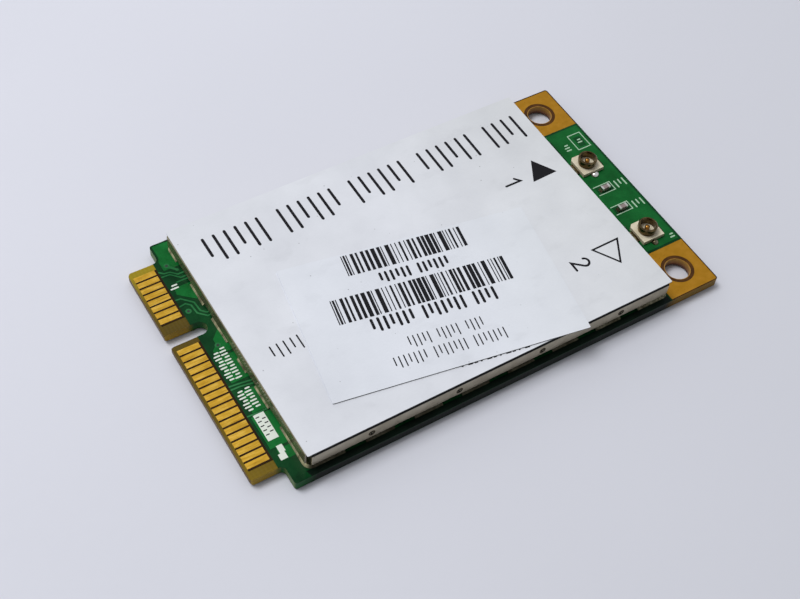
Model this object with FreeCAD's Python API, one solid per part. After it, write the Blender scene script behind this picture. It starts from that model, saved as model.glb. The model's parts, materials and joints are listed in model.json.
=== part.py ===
"""Laptop wireless network card: a full-size mini card with a shield can and two antenna sockets.

Millimetres. The card lies flat: X runs along it, from the edge contacts at -X to the mounting
holes at +X, Y runs across it and Z is up. The origin is at the middle of the underside.
"""
import FreeCAD, Part
import math
import os

V = FreeCAD.Vector
UP = V(0, 0, 1)

# Board: bare laminate between two layers of outer copper and solder mask
BOARD_LENGTH = 50.95
LAMINATE_T = 0.90
MASK_T = 0.05
CORNER_R = 0.30
SHOULDER_WIDTH = 2.15
SHOULDER_R = 0.50
TONGUE_DEPTH = 3.20
BEVEL_LENGTH = 0.25
BEVEL_DEPTH = 0.15

# Edge contacts, in two groups that the key notch parts
CONTACT_WIDTH = 0.60
CONTACT_GAP = 0.20
CONTACT_LENGTH = 2.30
CONTACT_T = 0.035
SHORT_COUNT = 8
LONG_COUNT = 18
KEY_TO_SHORT = 2.35
KEY_TO_LONG = 1.65
UNDERSIDE_STAGGER = 0.40
SHORT_MARGIN = 0.75
LONG_MARGIN = 1.15
KEY_WIDTH = 1.50
KEY_PAST_SHOULDER = 0.80
MASK_TO_CONTACT = 0.10

# Mounting holes, each in the middle of a bare corner pad
CORNER_PAD = 5.80
HOLE_D = 2.60
BARE_RING = 0.40

# Shield can: a lid of folded sheet that snaps over a soldered frame
SHOULDER_TO_LID = 1.525
LID_MARGIN = 0.70
LID_HEIGHT = 2.05
LID_T = 0.15
LID_BEND = 0.10
LID_CORNER_RELIEF = 0.45
SKIRT_GAP = 0.50
LID_CLEARANCE = 0.03
FRAME_T = 0.20
FRAME_CORNER_IN = 0.40
FRAME_LIP = 1.50
BRIDGE_WIDTH = 3.00
PICK_UP_D = 7.00
ARCH_HEIGHT = 0.38
ARCH_WIDTH = 2.10
ARCH_PITCH = 5.10
ARCH_COUNT = 7
FINGER_SIDE_ARCHES = ((10.45, 3.10), (5.20, 1.80), (0.10, 2.10), (-3.55, 1.70), (-8.20, 2.20))
DIMPLE_R = 0.30
DIMPLE_DEPTH = 0.24
DIMPLE_PLAY = 0.06
DIMPLE_PITCH = 9.25
DIMPLE_COUNT = 4
DIMPLE_FROM_MIDDLE = 0.17
DIMPLE_FROM_EDGE = 0.60
FILLET_TOE = 0.26
FILLET_HEIGHT = 0.20

# Paper labels on the lid
LABEL_T = 0.10
LABEL_INSET = 0.08
LABEL_CORNER_R = 0.12
UPPER_LABEL_LENGTH = 25.75
UPPER_LABEL_WIDTH = 15.70
UPPER_LABEL_TURN = -9.5
UPPER_LABEL_AT = (-1.65, -5.01)

# Antenna sockets
SOCKET_YS = (3.62, -6.75)
SOCKET_FROM_HOLES = 0.10
HOUSING_SIZE = 2.60
HOUSING_HEIGHT = 0.42
HOUSING_CHAMFER = 0.30
SHELL_D = 2.00
SHELL_WALL = 0.20
SHELL_TOP = 1.25
SHELL_NECK = 0.08
SHELL_NECK_HEIGHT = 0.30
LEG_T = 0.15
LEG_WIDTH = 1.40
LEG_REACH = 0.25
PIN_D = 0.50
PIN_TOP = 1.00
PIN_TIP_HEIGHT = 0.12
PIN_TAIL_T = 0.12
SOLDER_DOME_R = 0.38
SOLDER_DOME_HEIGHT = 0.30
WEDGE_TOE = 0.20

# Chip parts: two by the antenna sockets, the rest under the shield
CHIP_LENGTH = 1.00
CHIP_WIDTH = 0.50
CHIP_HEIGHT = 0.50
CHIP_END = 0.22
CHIP_INSET = 0.02
RESISTOR_HEIGHT = 0.35
CHIP_FROM_SOCKET = 3.68
CHIP_FROM_HOLES = -0.15
INNER_CHIP_GAP = 0.40

# Parts under the shield, placed from the middle of the shield
TERMINAL_T = 0.10
RADIO_HEIGHT = 0.85
RADIO_PIN_COUNT = 10
RADIO_PIN = (0.30, 0.50)
RADIO_PIN_GAP = 0.35
RADIO_CORNER = 0.775
RADIO_PADDLE_GAP = 1.40
RADIO_AT = (-4.00, 1.50)
AMPLIFIER_HEIGHT = 0.85
AMPLIFIER_PIN_COUNT = 4
AMPLIFIER_PIN = (0.24, 0.40)
AMPLIFIER_PIN_GAP = 0.26
AMPLIFIER_CORNER = 0.75
AMPLIFIER_PADDLE_GAP = 0.35
AMPLIFIER_AT = (9.00, 1.50)
SWITCH_HEIGHT = 0.60
SWITCH_PIN_COUNT = 3
SWITCH_PIN = (0.22, 0.30)
SWITCH_PIN_GAP = 0.28
SWITCH_CORNER = 0.50
SWITCH_PADDLE_GAP = 0.25
SWITCH_AT = (13.00, -2.50)
CRYSTAL_LENGTH = 5.00
CRYSTAL_WIDTH = 3.20
CRYSTAL_BASE_T = 0.60
CRYSTAL_LID_T = 0.40
CRYSTAL_RIM = 0.25
CRYSTAL_AT = (-13.00, 3.50)
MEMORY_BODY = (3.00, 4.40, 0.90)
MEMORY_LEAD_COUNT = 4
MEMORY_PITCH = 0.65
MEMORY_AT = (-12.50, -4.50)
REGULATOR_BODY = (2.90, 1.60, 1.00)
REGULATOR_LEAD_COUNT = 3
REGULATOR_PITCH = 0.95
REGULATOR_AT = (-2.50, -8.00)
LEAD_WIDTH = 0.30
LEAD_T = 0.15
LEAD_REACH = 0.95
LEAD_FOOT = 0.50
LEAD_STANDOFF = 0.08
INDUCTOR_SIZE = 3.00
INDUCTOR_HEIGHT = 1.20
INDUCTOR_CORNER_R = 0.50
INDUCTOR_TERMINAL = 0.80
INDUCTOR_AT = (3.20, -8.00)
FILTER_BODY = (2.00, 1.25, 0.95)
FILTER_END = 0.30
FILTER_AT = (9.00, -3.00)
BALUN_BODY = (1.60, 0.80, 0.60)
BALUN_END = 0.25
BALUN_AT = (4.50, 3.50)
CAPACITOR_ROWS = ((-4.00, 9.20), (8.80, 6.50))
RESISTOR_ROWS = ((-12.50, -9.50), (9.50, -7.50))
CHIP_ROW_COUNT = 5

# Worked out from the values above
CONTACT_PITCH = CONTACT_WIDTH + CONTACT_GAP
KEY_TO_SHORT_SIDE = KEY_TO_SHORT + (SHORT_COUNT - 1) * CONTACT_PITCH + CONTACT_WIDTH / 2 + SHORT_MARGIN
KEY_TO_LONG_SIDE = KEY_TO_LONG + (LONG_COUNT - 1) * CONTACT_PITCH + CONTACT_WIDTH / 2 + LONG_MARGIN
TONGUE_WIDTH = KEY_TO_SHORT_SIDE + KEY_TO_LONG_SIDE
BOARD_WIDTH = TONGUE_WIDTH + 2 * SHOULDER_WIDTH
TIP_X = -BOARD_LENGTH / 2
END_X = BOARD_LENGTH / 2
SHOULDER_X = TIP_X + TONGUE_DEPTH
KEY_Y = TONGUE_WIDTH / 2 - KEY_TO_SHORT_SIDE
KEY_END_X = SHOULDER_X + KEY_PAST_SHOULDER
CONTACT_X = TIP_X + BEVEL_LENGTH
MASK_X = CONTACT_X + CONTACT_LENGTH + MASK_TO_CONTACT
LAMINATE_TOP = MASK_T + LAMINATE_T
BOARD_TOP = LAMINATE_TOP + MASK_T
PAD_X = END_X - CORNER_PAD
PAD_Y = BOARD_WIDTH / 2 - CORNER_PAD
HOLE_X = END_X - CORNER_PAD / 2
HOLE_Y = BOARD_WIDTH / 2 - CORNER_PAD / 2
LID_X0 = SHOULDER_X + SHOULDER_TO_LID
LID_X1 = PAD_X
LID_Y = BOARD_WIDTH / 2 - LID_MARGIN
LID_TOP = BOARD_TOP + LID_HEIGHT
SKIRT_Z = BOARD_TOP + SKIRT_GAP
DIMPLE_Z = SKIRT_Z + DIMPLE_FROM_EDGE
SHIELD_X = (LID_X0 + LID_X1) / 2
FRAME_INSET = LID_T + LID_CLEARANCE
FRAME_X0 = LID_X0 + FRAME_INSET
FRAME_X1 = LID_X1 - FRAME_INSET
FRAME_Y = LID_Y - FRAME_INSET
FRAME_TOP = LID_TOP - LID_T
FRAME_CORNER_R = FRAME_CORNER_IN + FRAME_T
LABEL_Z = LID_TOP
UPPER_LABEL_Z = LABEL_Z + LABEL_T
SOCKET_X = HOLE_X + SOCKET_FROM_HOLES
SOCKET_SIDE_ARCHES = tuple((y, ARCH_WIDTH) for y in SOCKET_YS)


def block(x0, x1, y0, y1, z0, z1):
    return Part.makeBox(x1 - x0, y1 - y0, z1 - z0, V(x0, y0, z0))


def centred_block(x, y, length, width, z0, z1):
    return block(x - length / 2, x + length / 2, y - width / 2, y + width / 2, z0, z1)


def upright(x, y, radius, z0, z1):
    return Part.makeCylinder(radius, z1 - z0, V(x, y, z0), UP)


def round_uprights(solid, radius, corners):
    """Round the vertical edges of a prism that stand at the given corners."""
    def stands_at(edge, corner):
        spots = [vertex.Point for vertex in edge.Vertexes]
        return all(math.hypot(p.x - corner[0], p.y - corner[1]) < 1e-6 for p in spots)

    edges = [e for e in solid.Edges if any(stands_at(e, c) for c in corners)]
    return solid.makeFillet(radius, edges)


def edges_at_height(solid, z):
    return [e for e in solid.Edges if all(abs(v.Point.z - z) < 1e-6 for v in e.Vertexes)]


def rounded_block(x0, x1, y0, y1, z0, z1, radius):
    corners = [(x, y) for x in (x0, x1) for y in (y0, y1)]
    return round_uprights(block(x0, x1, y0, y1, z0, z1), radius, corners)


def prism_along_y(points, y0, y1):
    """Extrude an outline of (x, z) points along Y."""
    wire = Part.makePolygon([V(x, y0, z) for x, z in points + points[:1]])
    return Part.Face(wire).extrude(V(0, y1 - y0, 0))


def dome(x, y, z, radius, height):
    """A cap of a sphere on a flat round base."""
    sphere_r = (radius ** 2 + height ** 2) / (2 * height)
    sphere = Part.makeSphere(sphere_r, V(x, y, z + height - sphere_r))
    return sphere.common(upright(x, y, sphere_r, z, z + height))


def row(count, pitch, centre=0.0):
    """Evenly spaced places about a centre."""
    return [centre + (i - (count - 1) / 2) * pitch for i in range(count)]


def joined(shapes):
    first, *rest = shapes
    return first.multiFuse(rest).removeSplitter()


def write(name, *shapes):
    solid = shapes[0] if len(shapes) == 1 else Part.makeCompound(list(shapes))
    solid.exportStep(f"parts/{name}.step")


# Circuit board

def board_blank(z0, z1):
    """The board's outline between two heights, with its tongue, key notch and mounting holes."""
    body = block(SHOULDER_X, END_X, -BOARD_WIDTH / 2, BOARD_WIDTH / 2, z0, z1)
    tongue = block(TIP_X, SHOULDER_X, -TONGUE_WIDTH / 2, TONGUE_WIDTH / 2, z0, z1)
    blank = body.fuse(tongue).removeSplitter()
    sides = (-1, 1)
    outer = [(x, s * BOARD_WIDTH / 2) for x in (SHOULDER_X, END_X) for s in sides]
    tips = [(TIP_X, s * TONGUE_WIDTH / 2) for s in sides]
    blank = round_uprights(blank, CORNER_R, outer + tips)
    blank = round_uprights(blank, SHOULDER_R, [(SHOULDER_X, s * TONGUE_WIDTH / 2) for s in sides])
    round_x = KEY_END_X - KEY_WIDTH / 2
    half_key = KEY_WIDTH / 2
    key = [block(TIP_X - half_key, round_x, KEY_Y - half_key, KEY_Y + half_key, z0, z1),
           upright(round_x, KEY_Y, half_key, z0, z1)]
    holes = [upright(HOLE_X, s * HOLE_Y, HOLE_D / 2, z0, z1) for s in sides]
    return blank.cut(key + holes)


def circuit_board():
    bevels = []
    for face_z, inward in ((LAMINATE_TOP, -1), (MASK_T, 1)):
        outline = [(TIP_X, face_z), (CONTACT_X, face_z), (TIP_X, face_z + inward * BEVEL_DEPTH)]
        bevels.append(prism_along_y(outline, -BOARD_WIDTH / 2, BOARD_WIDTH / 2))
    return board_blank(MASK_T, LAMINATE_TOP).cut(bevels)


def corner_squares(z0, z1):
    return [block(PAD_X, END_X, y, y + CORNER_PAD, z0, z1) for y in (PAD_Y, -BOARD_WIDTH / 2)]


def solder_mask(z0):
    """One printed layer: it leaves the tongue's contacts and the corner pads bare."""
    bare_tongue = block(TIP_X, MASK_X, -BOARD_WIDTH / 2, BOARD_WIDTH / 2, z0, z0 + MASK_T)
    return board_blank(z0, z0 + MASK_T).cut([bare_tongue] + corner_squares(z0, z0 + MASK_T))


def corner_pads(z0):
    """Plated squares round the mounting holes, held back from each hole by a bare ring."""
    z1 = z0 + CONTACT_T
    rings = [upright(HOLE_X, s * HOLE_Y, HOLE_D / 2 + BARE_RING, z0, z1) for s in (-1, 1)]
    blank = board_blank(z0, z1)
    return [blank.common(square).cut(rings) for square in corner_squares(z0, z1)]


def edge_contacts(z0, stagger):
    short_y = KEY_Y + KEY_TO_SHORT - stagger
    long_y = KEY_Y - KEY_TO_LONG - stagger
    places = [short_y + i * CONTACT_PITCH for i in range(SHORT_COUNT)]
    places += [long_y - i * CONTACT_PITCH for i in range(LONG_COUNT)]
    middle_x = CONTACT_X + CONTACT_LENGTH / 2
    return [centred_block(middle_x, y, CONTACT_LENGTH, CONTACT_WIDTH, z0, z0 + CONTACT_T) for y in places]


# Shield can

def dimple_places():
    """Each snap dimple's x along the lid's long sides, and the side that it is pressed in from."""
    middle = SHIELD_X + DIMPLE_FROM_MIDDLE
    return [(x, side) for side in (-1, 1) for x in row(DIMPLE_COUNT, DIMPLE_PITCH, middle)]


def dimple_cone(x, side, face_y):
    """The point of the punch, as far as it goes in past a face of the skirt."""
    return Part.makeCone(DIMPLE_R, 0, DIMPLE_DEPTH, V(x, side * face_y, DIMPLE_Z), V(0, -side, 0))


def shield_lid():
    def box_with_bends(inset, top, bend):
        solid = block(LID_X0 + inset, LID_X1 - inset, -LID_Y + inset, LID_Y - inset, SKIRT_Z, top)
        return solid.makeFillet(bend, edges_at_height(solid, top))

    outside = box_with_bends(0, LID_TOP, LID_BEND + LID_T)
    lid = outside.cut(box_with_bends(LID_T, FRAME_TOP, LID_BEND))
    reliefs = []
    for x0, x1 in ((LID_X0, LID_X0 + LID_CORNER_RELIEF), (LID_X1 - LID_CORNER_RELIEF, LID_X1)):
        for y0, y1 in ((-LID_Y, LID_CORNER_RELIEF - LID_Y), (LID_Y - LID_CORNER_RELIEF, LID_Y)):
            reliefs.append(block(x0, x1, y0, y1, SKIRT_Z, LID_TOP))
    lid = lid.cut(reliefs)
    bumps = [dimple_cone(x, side, LID_Y - LID_T) for x, side in dimple_places()]
    hollows = [dimple_cone(x, side, LID_Y) for x, side in dimple_places()]
    return joined([lid] + bumps).cut(hollows)


def frame_arches():
    """Openings at the foot of the frame, where tracks pass under it, as x0, x1, y0, y1 boxes."""
    arches = []
    for side in (-1, 1):
        y0, y1 = sorted((side * FRAME_Y, side * (FRAME_Y - FRAME_T)))
        for x in row(ARCH_COUNT, ARCH_PITCH, SHIELD_X):
            arches.append((x - ARCH_WIDTH / 2, x + ARCH_WIDTH / 2, y0, y1))
    for x0, places in ((FRAME_X0, FINGER_SIDE_ARCHES), (FRAME_X1 - FRAME_T, SOCKET_SIDE_ARCHES)):
        arches += [(x0, x0 + FRAME_T, y - width / 2, y + width / 2) for y, width in places]
    return arches


def shield_frame():
    """One folded frame: a wall with arched feet, a lip that carries the lid, and a pick-up bridge."""
    blank = rounded_block(FRAME_X0, FRAME_X1, -FRAME_Y, FRAME_Y, BOARD_TOP, FRAME_TOP, FRAME_CORNER_R)
    blank = blank.makeChamfer(FRAME_T, edges_at_height(blank, FRAME_TOP))
    inner = rounded_block(FRAME_X0 + FRAME_T, FRAME_X1 - FRAME_T, FRAME_T - FRAME_Y, FRAME_Y - FRAME_T,
                          BOARD_TOP, FRAME_TOP - FRAME_T, FRAME_CORNER_IN)
    window = block(FRAME_X0 + FRAME_LIP, FRAME_X1 - FRAME_LIP, FRAME_LIP - FRAME_Y, FRAME_Y - FRAME_LIP,
                   FRAME_TOP - FRAME_T, FRAME_TOP)
    bridge = centred_block(SHIELD_X, 0, BRIDGE_WIDTH, 2 * FRAME_Y, FRAME_TOP - FRAME_T, FRAME_TOP)
    pick_up = upright(SHIELD_X, 0, PICK_UP_D / 2, FRAME_TOP - FRAME_T, FRAME_TOP)
    window = window.cut([bridge, pick_up])
    arches = [block(*arch, BOARD_TOP, BOARD_TOP + ARCH_HEIGHT) for arch in frame_arches()]
    catch = 2 * (DIMPLE_R + DIMPLE_PLAY)
    catches = [centred_block(x, side * (FRAME_Y - FRAME_T / 2), catch, FRAME_T,
                             DIMPLE_Z - catch / 2, DIMPLE_Z + catch / 2) for x, side in dimple_places()]
    return blank.cut([inner, window] + arches + catches)


def frame_solder():
    """Solder fillets along the outside of the frame's feet and round its corners."""
    def section(origin, outward):
        """A fillet that slopes down to the board from a wall at origin."""
        foot = V(*origin, BOARD_TOP)
        corners = [foot, foot + outward * FILLET_TOE, foot + UP * FILLET_HEIGHT, foot]
        return Part.Face(Part.makePolygon(corners))

    runs = []
    corner_x = (FRAME_X0 + FRAME_CORNER_R, FRAME_X1 - FRAME_CORNER_R)
    corner_y = FRAME_Y - FRAME_CORNER_R
    long_arches = [(x - ARCH_WIDTH / 2, x + ARCH_WIDTH / 2) for x in row(ARCH_COUNT, ARCH_PITCH, SHIELD_X)]
    for side in (-1, 1):
        for x0, x1 in feet_between(corner_x, long_arches):
            runs.append(section((x0, side * FRAME_Y), V(0, side, 0)).extrude(V(x1 - x0, 0, 0)))
    for face_x, outward, arches in ((FRAME_X0, -1, FINGER_SIDE_ARCHES), (FRAME_X1, 1, SOCKET_SIDE_ARCHES)):
        gaps = sorted((y - width / 2, y + width / 2) for y, width in arches)
        for y0, y1 in feet_between((-corner_y, corner_y), gaps):
            runs.append(section((face_x, y0), V(outward, 0, 0)).extrude(V(0, y1 - y0, 0)))
    for x, first_turn in ((corner_x[1], -90), (corner_x[0], 90)):
        for side in (-1, 1):
            face = section((x, side * FRAME_Y), V(0, side, 0))
            runs.append(face.revolve(V(x, side * corner_y, 0), UP, first_turn * side))
    return joined(runs).Solids


def feet_between(ends, gaps):
    """The stretches of a wall between its ends that the gaps leave standing."""
    starts = [ends[0]] + [gap[1] for gap in gaps]
    stops = [gap[0] for gap in gaps] + [ends[1]]
    return list(zip(starts, stops))


# Labels

def main_label():
    half_width = LID_Y - LABEL_INSET
    return rounded_block(LID_X0 + LABEL_INSET, LID_X1 - LABEL_INSET, -half_width, half_width,
                         LABEL_Z, LABEL_Z + LABEL_T, LABEL_CORNER_R)


def upper_label():
    """A second label, stuck on askew, with one corner past the lid's edge."""
    half_length = UPPER_LABEL_LENGTH / 2
    half_width = UPPER_LABEL_WIDTH / 2
    label = rounded_block(-half_length, half_length, -half_width, half_width,
                          UPPER_LABEL_Z, UPPER_LABEL_Z + LABEL_T, LABEL_CORNER_R)
    label.rotate(V(0, 0, 0), UP, UPPER_LABEL_TURN)
    label.translate(V(SHIELD_X + UPPER_LABEL_AT[0], UPPER_LABEL_AT[1], 0))
    return label


# Antenna sockets

def socket_shell(y):
    """The outer contact: a turned-in ring with a snap neck, on two legs."""
    outer = SHELL_D / 2
    neck = outer - SHELL_NECK
    inner = outer - SHELL_WALL
    base = BOARD_TOP + LEG_T
    neck_z = BOARD_TOP + HOUSING_HEIGHT
    bead_z = neck_z + SHELL_NECK_HEIGHT
    top = BOARD_TOP + SHELL_TOP
    profile = [(inner, base), (neck, base), (neck, bead_z - SHELL_NECK), (outer, bead_z),
               (outer, top - SHELL_NECK), (neck, top), (inner, top), (inner, base)]
    wire = Part.makePolygon([V(SOCKET_X + r, y, z) for r, z in profile])
    ring = Part.Face(wire).revolve(V(SOCKET_X, y, 0), UP, 360)
    return joined([ring] + shell_legs(y))


def shell_legs(y):
    inner = SHELL_D / 2 - SHELL_WALL
    outer = HOUSING_SIZE / 2 + LEG_REACH
    return [centred_block(SOCKET_X + side * (inner + outer) / 2, y, outer - inner, LEG_WIDTH,
                          BOARD_TOP, BOARD_TOP + LEG_T) for side in (-1, 1)]


def socket_pin(y):
    """The centre contact, with a tail that leaves the housing at board level."""
    tail = block(SOCKET_X - PIN_D / 2, SOCKET_X + PIN_D / 2, y - HOUSING_SIZE / 2 - LEG_REACH, y,
                 BOARD_TOP, BOARD_TOP + PIN_TAIL_T)
    tip_z = BOARD_TOP + PIN_TOP - PIN_TIP_HEIGHT
    post = upright(SOCKET_X, y, PIN_D / 2, BOARD_TOP, tip_z)
    tip = dome(SOCKET_X, y, tip_z, PIN_D / 2, PIN_TIP_HEIGHT)
    return joined([tail, post, tip])


def socket_housing(y):
    """The moulded base, cast round the shell's foot and the pin."""
    half = HOUSING_SIZE / 2
    base = centred_block(SOCKET_X, y, HOUSING_SIZE, HOUSING_SIZE, BOARD_TOP, BOARD_TOP + HOUSING_HEIGHT)
    corners = [(SOCKET_X + side * half, y + half) for side in (-1, 1)]
    edges = [e for e in base.Edges
             if any(all(math.hypot(v.X - cx, v.Y - cy) < 1e-6 for v in e.Vertexes) for cx, cy in corners)]
    base = base.makeChamfer(HOUSING_CHAMFER, edges)
    return base.cut([socket_shell(y), socket_pin(y)])


def socket_solder():
    """A wedge of solder at the end of each leg, and a dome over the tail of each pin."""
    reach = HOUSING_SIZE / 2 + LEG_REACH
    solder = []
    for y in SOCKET_YS:
        for side in (-1, 1):
            solder.append(solder_wedge(SOCKET_X + side * reach, y, side, LEG_WIDTH, LEG_T))
        blob = dome(SOCKET_X, y - reach, BOARD_TOP, SOLDER_DOME_R, SOLDER_DOME_HEIGHT)
        solder.append(blob.cut([socket_pin(y), socket_housing(y)]))
    return solder


def solder_wedge(x, y, side, width, height):
    """Solder that slopes down to the board from an upright end face at x."""
    outline = [(x, BOARD_TOP), (x + side * WEDGE_TOE, BOARD_TOP), (x, BOARD_TOP + height)]
    return prism_along_y(outline, y - width / 2, y + width / 2)


# Chip parts and packages

def chip_body(x, y, length, width, height, end):
    return centred_block(x, y, length - 2 * end, width - 2 * CHIP_INSET,
                         BOARD_TOP + CHIP_INSET, BOARD_TOP + height - CHIP_INSET)


def chip_ends(x, y, length, width, height, end):
    return [centred_block(x + side * (length - end) / 2, y, end, width, BOARD_TOP, BOARD_TOP + height)
            for side in (-1, 1)]


def chip_solder(x, y):
    return [solder_wedge(x + side * CHIP_LENGTH / 2, y, side, CHIP_WIDTH, CHIP_HEIGHT / 2)
            for side in (-1, 1)]


def inner_chips(rows):
    """The places of chip parts set side by side in rows under the shield."""
    pitch = CHIP_LENGTH + INNER_CHIP_GAP
    return [(x, y) for row_x, y in rows for x in row(CHIP_ROW_COUNT, pitch, SHIELD_X + row_x)]


def leadless_size(pins, pin, gap, corner):
    """The side of a leadless package whose pins stop short of its corners."""
    return (pins - 1) * (pin[0] + gap) + 2 * corner


def leadless_terminals(at, pins, pin, gap, corner, paddle_gap):
    """The metal under a leadless package: a paddle and a row of pins along each of its sides."""
    x = SHIELD_X + at[0]
    y = at[1]
    z0, z1 = BOARD_TOP, BOARD_TOP + TERMINAL_T
    width, length = pin
    size = leadless_size(pins, pin, gap, corner)
    paddle = size - 2 * (length + paddle_gap)
    reach = (size - length) / 2
    metal = [centred_block(x, y, paddle, paddle, z0, z1)]
    for step in row(pins, width + gap):
        for side in (-1, 1):
            metal.append(centred_block(x + step, y + side * reach, width, length, z0, z1))
            metal.append(centred_block(x + side * reach, y + step, length, width, z0, z1))
    return metal


def leadless_body(at, size, height):
    x = SHIELD_X + at[0]
    return centred_block(x, at[1], size, size, BOARD_TOP + TERMINAL_T, BOARD_TOP + height)


def leaded_body(at, body):
    length, width, height = body
    z0 = BOARD_TOP + LEAD_STANDOFF
    return centred_block(SHIELD_X + at[0], at[1], length, width, z0, z0 + height)


def gull_leads(at, body, count, pitch):
    """Bent leads along both long sides of a package, from mid height down to the board."""
    length, width, height = body
    shoulder = BOARD_TOP + LEAD_STANDOFF + height / 2
    knee = LEAD_REACH - LEAD_FOOT
    foot_top = BOARD_TOP + LEAD_T
    leads = []
    for side in (-1, 1):
        wall = at[1] + side * width / 2
        outline = [(0, shoulder), (knee, shoulder), (knee, foot_top), (LEAD_REACH, foot_top),
                   (LEAD_REACH, BOARD_TOP), (knee - LEAD_T, BOARD_TOP), (knee - LEAD_T, shoulder - LEAD_T),
                   (0, shoulder - LEAD_T)]
        for step in row(count, pitch, SHIELD_X + at[0]):
            corners = [V(step - LEAD_WIDTH / 2, wall + side * out, z) for out, z in outline + outline[:1]]
            leads.append(Part.Face(Part.makePolygon(corners)).extrude(V(LEAD_WIDTH, 0, 0)))
    return leads


def inductor_terminals():
    x = SHIELD_X + INDUCTOR_AT[0]
    reach = (INDUCTOR_SIZE - INDUCTOR_TERMINAL) / 2
    width = INDUCTOR_SIZE - 2 * INDUCTOR_CORNER_R
    return [centred_block(x + side * reach, INDUCTOR_AT[1], INDUCTOR_TERMINAL, width,
                          BOARD_TOP, BOARD_TOP + TERMINAL_T) for side in (-1, 1)]


def inductor_body():
    x = SHIELD_X + INDUCTOR_AT[0]
    y = INDUCTOR_AT[1]
    half = INDUCTOR_SIZE / 2
    body = rounded_block(x - half, x + half, y - half, y + half, BOARD_TOP, BOARD_TOP + INDUCTOR_HEIGHT,
                         INDUCTOR_CORNER_R)
    return body.cut(inductor_terminals())


def crystal_base():
    return centred_block(SHIELD_X + CRYSTAL_AT[0], CRYSTAL_AT[1], CRYSTAL_LENGTH, CRYSTAL_WIDTH,
                         BOARD_TOP, BOARD_TOP + CRYSTAL_BASE_T)


def crystal_lid():
    z0 = BOARD_TOP + CRYSTAL_BASE_T
    return centred_block(SHIELD_X + CRYSTAL_AT[0], CRYSTAL_AT[1], CRYSTAL_LENGTH - 2 * CRYSTAL_RIM,
                         CRYSTAL_WIDTH - 2 * CRYSTAL_RIM, z0, z0 + CRYSTAL_LID_T)


def write_board():
    write("circuit_board", circuit_board())
    write("solder_mask_top", solder_mask(LAMINATE_TOP))
    write("solder_mask_bottom", solder_mask(0))
    write("edge_contacts_top", *edge_contacts(LAMINATE_TOP, 0))
    write("edge_contacts_bottom", *edge_contacts(MASK_T - CONTACT_T, UNDERSIDE_STAGGER))
    write("mounting_pads_top", *corner_pads(LAMINATE_TOP))
    write("mounting_pads_bottom", *corner_pads(MASK_T - CONTACT_T))


def write_shield():
    write("shield_frame", shield_frame())
    write("frame_solder", *frame_solder())
    write("shield_lid", shield_lid())
    write("main_label", main_label())
    write("upper_label", upper_label())


def write_antenna_end():
    for number, y in enumerate(SOCKET_YS, start=1):
        write(f"antenna_socket_{number}_housing", socket_housing(y))
        write(f"antenna_socket_{number}_shell", socket_shell(y))
        write(f"antenna_socket_{number}_pin", socket_pin(y))
    write("socket_solder", *socket_solder())
    chip_x = HOLE_X + CHIP_FROM_HOLES
    places = [(chip_x, SOCKET_YS[0] - CHIP_FROM_SOCKET), (chip_x, SOCKET_YS[1] + CHIP_FROM_SOCKET)]
    sizes = (CHIP_LENGTH, CHIP_WIDTH, CHIP_HEIGHT, CHIP_END)
    write("antenna_capacitor_bodies", *[chip_body(x, y, *sizes) for x, y in places])
    write("antenna_capacitor_ends", *[end for x, y in places for end in chip_ends(x, y, *sizes)])
    write("antenna_capacitor_solder", *[wedge for x, y in places for wedge in chip_solder(x, y)])


def write_leadless_packages():
    packages = (
        ("radio_chip", RADIO_AT, RADIO_HEIGHT, RADIO_PADDLE_GAP,
         (RADIO_PIN_COUNT, RADIO_PIN, RADIO_PIN_GAP, RADIO_CORNER)),
        ("power_amplifier", AMPLIFIER_AT, AMPLIFIER_HEIGHT, AMPLIFIER_PADDLE_GAP,
         (AMPLIFIER_PIN_COUNT, AMPLIFIER_PIN, AMPLIFIER_PIN_GAP, AMPLIFIER_CORNER)),
        ("antenna_switch", SWITCH_AT, SWITCH_HEIGHT, SWITCH_PADDLE_GAP,
         (SWITCH_PIN_COUNT, SWITCH_PIN, SWITCH_PIN_GAP, SWITCH_CORNER)),
    )
    for name, at, height, paddle_gap, base in packages:
        write(f"{name}_terminals", *leadless_terminals(at, *base, paddle_gap))
        write(name, leadless_body(at, leadless_size(*base), height))


def write_other_inner_parts():
    write("crystal_base", crystal_base())
    write("crystal_lid", crystal_lid())
    write("memory_chip_body", leaded_body(MEMORY_AT, MEMORY_BODY))
    write("memory_chip_leads", *gull_leads(MEMORY_AT, MEMORY_BODY, MEMORY_LEAD_COUNT, MEMORY_PITCH))
    write("regulator_body", leaded_body(REGULATOR_AT, REGULATOR_BODY))
    write("regulator_leads",
          *gull_leads(REGULATOR_AT, REGULATOR_BODY, REGULATOR_LEAD_COUNT, REGULATOR_PITCH))
    write("inductor_body", inductor_body())
    write("inductor_terminals", *inductor_terminals())
    for name, at, body, end in (("band_filter", FILTER_AT, FILTER_BODY, FILTER_END),
                                ("balun", BALUN_AT, BALUN_BODY, BALUN_END)):
        sizes = (*body, end)
        write(f"{name}_body", chip_body(SHIELD_X + at[0], at[1], *sizes))
        write(f"{name}_ends", *chip_ends(SHIELD_X + at[0], at[1], *sizes))
    for name, rows, height in (("capacitor", CAPACITOR_ROWS, CHIP_HEIGHT),
                               ("resistor", RESISTOR_ROWS, RESISTOR_HEIGHT)):
        sizes = (CHIP_LENGTH, CHIP_WIDTH, height, CHIP_END)
        places = inner_chips(rows)
        write(f"inner_{name}_bodies", *[chip_body(x, y, *sizes) for x, y in places])
        write(f"inner_{name}_ends", *[end for x, y in places for end in chip_ends(x, y, *sizes)])


os.makedirs("parts", exist_ok=True)
write_board()
write_shield()
write_antenna_end()
write_leadless_packages()
write_other_inner_parts()
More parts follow.
